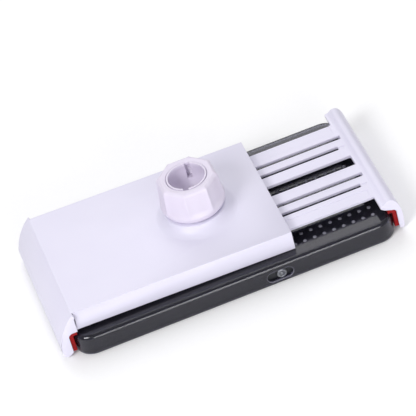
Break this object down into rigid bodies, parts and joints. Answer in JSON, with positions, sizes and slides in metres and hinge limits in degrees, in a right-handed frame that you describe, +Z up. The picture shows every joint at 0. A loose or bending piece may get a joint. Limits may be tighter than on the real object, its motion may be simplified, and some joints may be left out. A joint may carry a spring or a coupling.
{
  "type": "telescoping phone clamp",
  "caption": "Telescoping phone clamp with a ball-joint socket and lock nut, gripping a phone in a clear case.",
  "frame": {"origin": "centre of the whole outline in plan, on the face that the phone's screen side rests on", "axes": "+X from the fixed jaw to the sliding jaw, +Z up through the ball socket's open mouth, -Y the side with the phone's button"},
  "size_m": [0.1582, 0.079, 0.0421],
  "materials": {
    "shell_plastic": "satin moulded ABS",
    "socket_plastic": "satin moulded nylon",
    "jaw_rubber": "soft ribbed rubber",
    "black_rubber": "soft foam rubber",
    "steel": "zinc plated",
    "spring_steel": "drawn wire",
    "clear_tpu": "clear soft TPU",
    "phone_gloss": "gloss",
    "phone_frame": "satin",
    "screen_glass": "black gloss cover glass",
    "board_green": "solder mask",
    "cell_grey": "foil pouch",
    "button_metal": "turned"
  },
  "bodies": {
    "holder_body": {"back_shell": "shell_plastic", "ball_socket": "socket_plastic", "socket_screws": "steel", "bed_plate": "shell_plastic", "bed_pads": "black_rubber", "plate_screws": "steel", "fixed_jaw_pad": "jaw_rubber", "anchor_pins": "steel", "spring_front": "spring_steel", "spring_rear": "spring_steel"},
    "sliding_jaw": {"slide_tongue": "shell_plastic", "moving_jaw_pad": "jaw_rubber", "tongue_pins": "steel"},
    "nut": {"lock_nut": "socket_plastic"},
    "phone": {"clear_case": "clear_tpu", "back_cover": "phone_gloss", "mid_frame": "phone_frame", "display_glass": "screen_glass", "display_panel": "screen_glass", "battery": "cell_grey", "main_board": "board_green", "camera_module": "phone_gloss", "speaker": "phone_frame", "charge_port": "steel"},
    "power_button": {"side_button": "button_metal"}
  },
  "joints": [
    {"name": "jaw_slide", "type": "slide", "parent": "holder_body", "child": "sliding_jaw", "axis": [1, 0, 0], "range_m": [0, 0.02], "stiffness_N_per_m": 300, "springref_m": -0.04, "deforming": ["spring_front", "spring_rear"]},
    {"name": "nut_turn", "type": "hinge", "parent": "holder_body", "child": "nut", "pos_m": [-0.0023, 0, 0.03414], "axis": [0, 0, 1], "range_deg": [0, 360]},
    {"name": "phone_slide", "type": "slide", "parent": "holder_body", "child": "phone", "axis": [0, -1, 0], "range_m": [0, 0.09]},
    {"name": "button_press", "type": "slide", "parent": "phone", "child": "power_button", "axis": [0, 1, 0], "range_m": [0, 0.0004], "stiffness_N_per_m": 4000, "springref_m": -0.0002}
  ]
}
